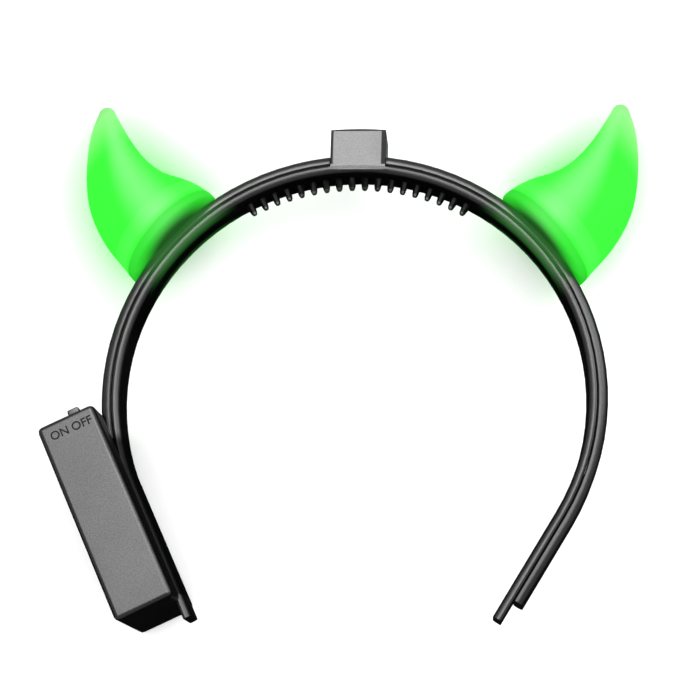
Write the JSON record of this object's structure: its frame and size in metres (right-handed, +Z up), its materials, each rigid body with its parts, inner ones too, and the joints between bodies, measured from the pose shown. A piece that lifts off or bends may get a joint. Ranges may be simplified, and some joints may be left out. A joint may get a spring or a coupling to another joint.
{
  "type": "devil horns headband",
  "caption": "Light-up devil horns headband: a C-shaped hoop with comb teeth, hollow curved horns, a square crown block and a battery box with a slide switch on one leg.",
  "frame": {"origin": "middle of the floor under the part's outline, with the headband lying on its back", "axes": "+X across the hoop from the battery box's leg to the free leg, +Y from the open ends to the crown, +Z up from the floor, across the band's width"},
  "size_m": [0.1682, 0.1562, 0.0348],
  "materials": {
    "black_plastic": "satin moulded plastic",
    "green_horn_plastic": "translucent plastic lit from inside"
  },
  "bodies": {
    "headband": {"comb_band": "black_plastic", "cover_left": "black_plastic", "cover_right": "black_plastic", "horn_left": "green_horn_plastic", "horn_right": "green_horn_plastic", "battery_box": "black_plastic"},
    "slider": {"switch_slider": "black_plastic"}
  },
  "joints": [
    {"name": "switch_slide", "type": "slide", "parent": "headband", "child": "slider", "axis": [-0.8973, -0.4415, 0], "range_m": [0, 0.0034]}
  ]
}
